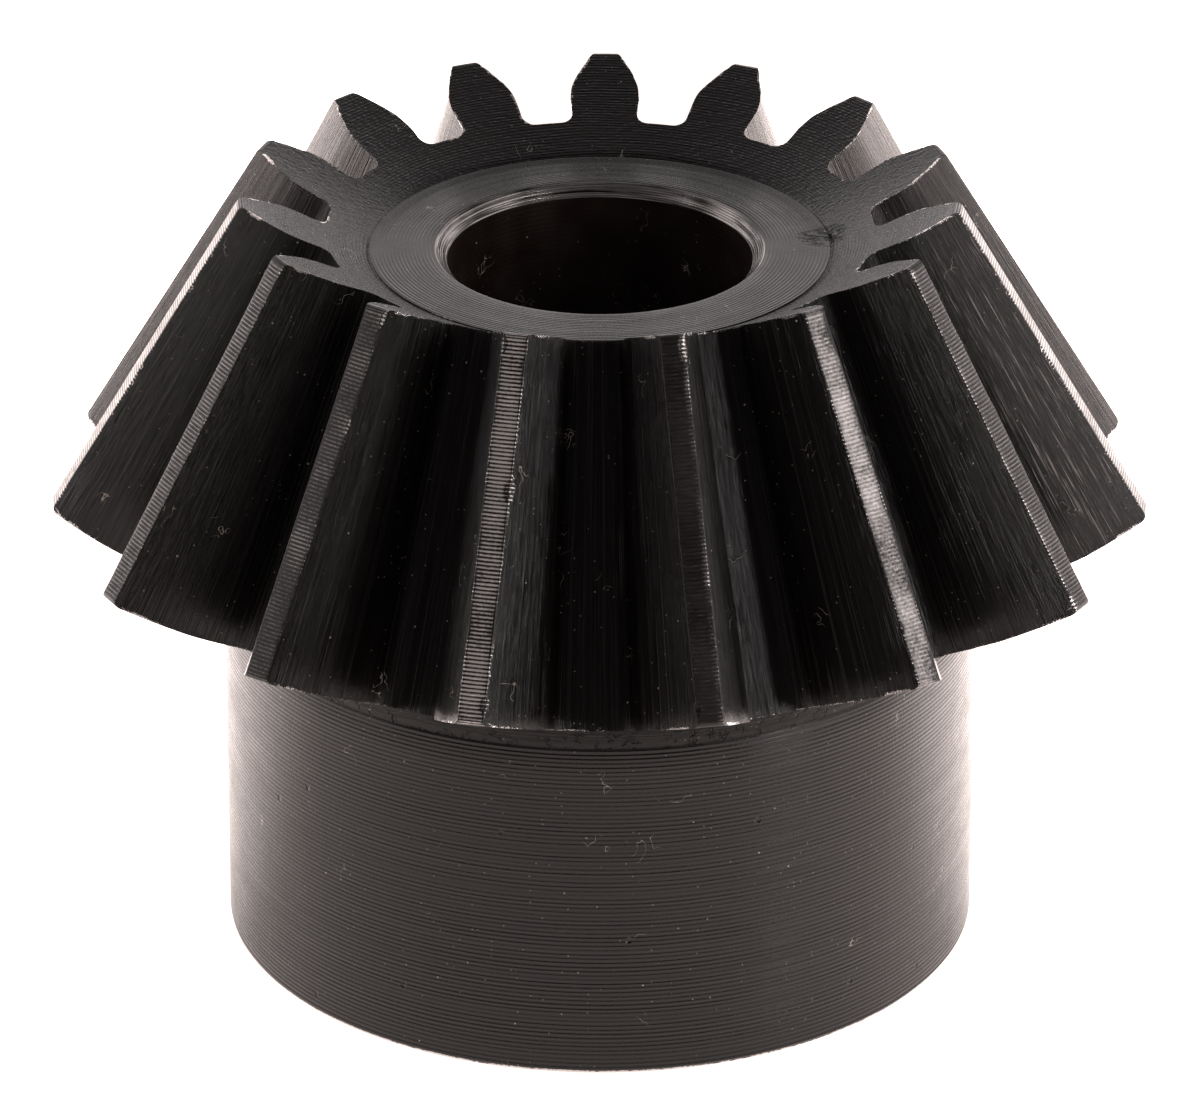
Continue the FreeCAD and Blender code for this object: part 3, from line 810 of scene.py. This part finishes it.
def scuffs(graph):
    """A cluster of dents where something struck the rim of the flat ring."""
    away = graph.node("ShaderNodeVectorMath", {0: graph.place, 1: SCUFF_PLACE},
                      operation="DISTANCE").outputs["Value"]
    near = graph.span(away, 0.3, 1.1, 1.0, 0.0)
    lumps = graph.noise(graph.stretched(2.2, 3.5, 2.2), 1.0, 3.0, 0.6)
    return graph.math("MULTIPLY", near, graph.span(lumps, 0.45, 0.62, 0.0, 4.5))


def ring_material():
    graph = Graph("ring")
    marks = turned(graph, graph.radius, 0.15, 0.3)
    mottle = graph.noise(graph.place, 0.8, 4.0, 0.6)
    height = graph.math("SUBTRACT", marks, scuffs(graph))
    colour = graph.mix(graph.span(mottle, 0.35, 0.7), STEEL, RING_GREY)
    roughness = graph.span(mottle, 0.3, 0.75, 0.20, 0.32)
    return graph.surface(graph.dusty(colour), roughness, height, 0.016, graph.worn(1.0))


def chamfer_material():
    graph = Graph("chamfer")
    marks = turned(graph, graph.z, 0.07)
    lines = graph.noise(graph.vector(graph.math("MULTIPLY", graph.azimuth, 1.5),
                                     graph.math("MULTIPLY", graph.z, 16.0), 0.0), 1.0, 4.0)
    patches = graph.noise(graph.place, 0.35, 2.0)
    both = graph.math("ADD", lines, graph.math("MULTIPLY", patches, 0.6))
    bare = graph.span(both, 0.70, 0.88, 0.0, 1.0)
    roughness = graph.span(lines, 0.3, 0.7, 0.16, 0.32)
    height = graph.math("ADD", marks, graph.math("MULTIPLY", lines, 2.0))
    return graph.surface(STEEL, roughness, height, 0.012, bare, THIN)


def bore_material():
    graph = Graph("bore")
    marks = turned(graph, graph.z, 0.2)
    mottle = graph.noise(graph.place, 0.7, 3.0)
    colour = graph.mix(mottle, BORE_BLACK, BORE_BROWN)
    roughness = graph.span(mottle, 0.3, 0.7, 0.3, 0.45)
    return graph.surface(graph.dusty(colour), roughness, marks, 0.006, graph.worn(0.9))


def rear_material():
    graph = Graph("rear")
    marks = turned(graph, graph.radius, 0.18)
    mottle = graph.noise(graph.place, 0.6, 4.0)
    colour = graph.mix(mottle, STEEL, REAR_GREY)
    roughness = graph.span(mottle, 0.3, 0.7, 0.24, 0.4)
    return graph.surface(colour, roughness, marks, 0.020, graph.worn(0.6))


# ---------------------------------------------------------------- stage
CAMERA_LENS, SENSOR = 262.5, 36.0
CAMERA_ELEVATION = math.radians(25.63)
CAMERA_AZIMUTH = math.radians(0.95)
CAMERA_DISTANCE = 348.9               # from the point of the axis that it faces
AIM_HEIGHT = 15.475                   # of that point
FLOOR_SIZE = 40.0                     # metres, so that its edge never shows
FLOOR_DROP = 0.02                     # mm below the gear's rear face
FLOOR_GREY = (0.03, 0.03, 0.03, 1)    # what the floor reflects, next to what it glows
FLOOR_COLOUR = (1.21, 1.05, 1.0, 1)   # warm white, just bright enough to show no shadow
SKY_COLOUR = (1.08, 1.0, 1.0, 1)
# What the floor glows beyond its plain white. The camera can't tell it from white, but
# the hub's rims and the teeth reflect it. Each is a run of places and the glow, or the
# share of it, at either end.
GLOW_ASIDE = (7.0, 13.0, 0.0, 1.0)    # to either side
GLOW_BEHIND = (-4.0, 3.0, 0.0, 0.75)  # toward the back
GLOW_FURTHER = (3.0, 14.0, 0.0, 0.3)  # toward the back, on top of that
GLOW_FAVOUR = (-12.0, 12.0, 1.0, 1.2)   # from left to right, for both of them
GLOW_WIDE = (18.0, 30.0, 0.0, 0.3)    # to either side, in front as well
GLOW_RIGHT = (2.0, 26.0, 0.0, 0.4)    # toward the right
GLOW_NEAR = (34.0, 50.0, 1.0, 0.2)    # outward: the end of all of these
GLOW_DISTANT = (3.0, 22.0, 0.0, 1.0)  # toward the back, for the last
GLOW_FAR = (34.0, 80.0, 0.5, 2.5)     # outward
HORIZON, ZENITH = 1.45, 0.32          # the studio's brightness, low down and overhead
LOW_SKY, HIGH_SKY = 0.20, 0.70        # sines of the elevations between which it fades
FRONT = 0.07                          # the room's brightness behind the camera
DARK_FRONT, LIT_BACK = -0.22, 0.12    # sines between which it brightens to the back
# Softboxes: degrees round from the front toward +X, height, width (m) and power (W)
SOFTBOXES = ((71.0, 0.186, 0.11, 0.24), (54.5, 0.150, 0.028, 0.30),
             (-71.0, 0.186, 0.08, 0.12))
SOFTBOX_HEIGHT, SOFTBOX_DISTANCE = 0.20, 0.38
SOFTBOX_AIM = 0.015                   # height that they all face, in metres
SOFTBOX_COLOUR = (1.0, 0.94, 0.93)


def add_camera():
    """A long lens, in front and above, as the photograph was taken."""
    data = bpy.data.cameras.new("camera")
    data.lens = CAMERA_LENS
    data.sensor_width = SENSOR
    data.clip_start, data.clip_end = 0.01, 100.0
    camera = bpy.data.objects.new("camera", data)
    aim = Vector((0, 0, AIM_HEIGHT)) * MM
    level = CAMERA_DISTANCE * math.cos(CAMERA_ELEVATION)
    away = Vector((level * math.sin(CAMERA_AZIMUTH), -level * math.cos(CAMERA_AZIMUTH),
                   CAMERA_DISTANCE * math.sin(CAMERA_ELEVATION))) * MM
    camera.location = aim + away
    camera.rotation_euler = (-away).to_track_quat("-Z", "Y").to_euler()
    bpy.context.scene.collection.objects.link(camera)
    bpy.context.scene.camera = camera


def floor_glow(graph):
    """Strength of the floor's glow: 1 in front of the gear, more beside it and far back."""
    across = graph.math("ABSOLUTE", graph.x)
    aside = graph.span(across, *GLOW_ASIDE)
    behind = graph.math("ADD", graph.span(graph.y, *GLOW_BEHIND),
                        graph.span(graph.y, *GLOW_FURTHER))
    behind = graph.math("MULTIPLY", behind, graph.span(graph.x, *GLOW_FAVOUR))
    near = graph.math("ADD", graph.math("MULTIPLY", behind, aside),
                      graph.span(across, *GLOW_WIDE))
    near = graph.math("ADD", near, graph.span(graph.x, *GLOW_RIGHT))
    near = graph.math("MULTIPLY", near, graph.span(graph.radius, *GLOW_NEAR))
    far = graph.math("MULTIPLY", graph.span(graph.y, *GLOW_DISTANT),
                     graph.span(graph.radius, *GLOW_FAR))
    far = graph.math("MULTIPLY", far, aside)
    return graph.math("ADD", graph.math("ADD", near, far), 1.0)


def add_floor():
    """A plain white sheet that glows, so that it shows no shadow."""
    half, level = FLOOR_SIZE / 2, -FLOOR_DROP * MM
    corners = [(-half, -half, level), (half, -half, level), (half, half, level),
               (-half, half, level)]
    mesh = bpy.data.meshes.new("floor")
    mesh.from_pydata(corners, [], [(0, 1, 2, 3)])
    floor = bpy.data.objects.new("floor", mesh)
    bpy.context.scene.collection.objects.link(floor)
    graph = Graph("floor")
    shader = graph.node("ShaderNodeBsdfPrincipled", {
        "Base Color": FLOOR_GREY, "Roughness": 0.9, "Specular IOR Level": 0.0,
        "Emission Color": FLOOR_COLOUR, "Emission Strength": floor_glow(graph)})
    output = graph.node("ShaderNodeOutputMaterial")
    graph.tree.links.new(shader.outputs[0], output.inputs[0])
    mesh.materials.append(graph.material)


def add_world():
    """The room: bright low down, dim overhead and nearly dark behind the camera."""
    world = bpy.data.worlds.new("studio")
    world.use_nodes = True
    bpy.context.scene.world = world
    nodes, links = world.node_tree.nodes, world.node_tree.links
    coordinates = nodes.new("ShaderNodeTexCoord")
    parts = nodes.new("ShaderNodeSeparateXYZ")
    links.new(coordinates.outputs["Generated"], parts.inputs[0])
    both = nodes.new("ShaderNodeMath")
    both.operation = "MULTIPLY"
    spans = ((parts.outputs[2], (LOW_SKY, HIGH_SKY, HORIZON, ZENITH)),
             (parts.outputs[1], (DARK_FRONT, LIT_BACK, FRONT, 1.0)))
    for place, (direction, values) in enumerate(spans):
        fade = nodes.new("ShaderNodeMapRange")
        fade.interpolation_type = "SMOOTHSTEP"
        for socket, value in zip(list(fade.inputs)[1:5], values):
            socket.default_value = value
        links.new(direction, fade.inputs[0])
        links.new(fade.outputs[0], both.inputs[place])
    links.new(both.outputs[0], nodes["Background"].inputs["Strength"])
    nodes["Background"].inputs["Color"].default_value = SKY_COLOUR


def add_softbox(angle, height, width, power):
    """A soft light beside the gear, turned to it."""
    data = bpy.data.lights.new("softbox", "AREA")
    data.shape = "RECTANGLE"
    data.size, data.size_y = width, SOFTBOX_HEIGHT
    data.energy = power
    data.color = SOFTBOX_COLOUR
    light = bpy.data.objects.new("softbox", data)
    turn = math.radians(angle)
    away = Vector((math.sin(turn), -math.cos(turn), 0)) * SOFTBOX_DISTANCE
    light.location = away + Vector((0, 0, height))
    toward = Vector((0, 0, SOFTBOX_AIM)) - light.location
    light.rotation_euler = toward.to_track_quat("-Z", "Y").to_euler()
    bpy.context.scene.collection.objects.link(light)


gear = gear_piece()
MAKERS = {"hub": hub_material, "neck": neck_material, "flank": flank_material,
          "tip": tip_material, "edge": edge_material, "dish": dish_material,
          "ring": ring_material, "chamfer": chamfer_material, "bore": bore_material,
          "rear": rear_material}
for zone_name in ZONES:
    gear.data.materials.append(MAKERS[zone_name]())
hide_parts(NODE)
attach(gear, "root")

add_floor()
add_world()
for softbox in SOFTBOXES:
    add_softbox(*softbox)
add_camera()
bpy.context.scene.view_settings.view_transform = "Standard"
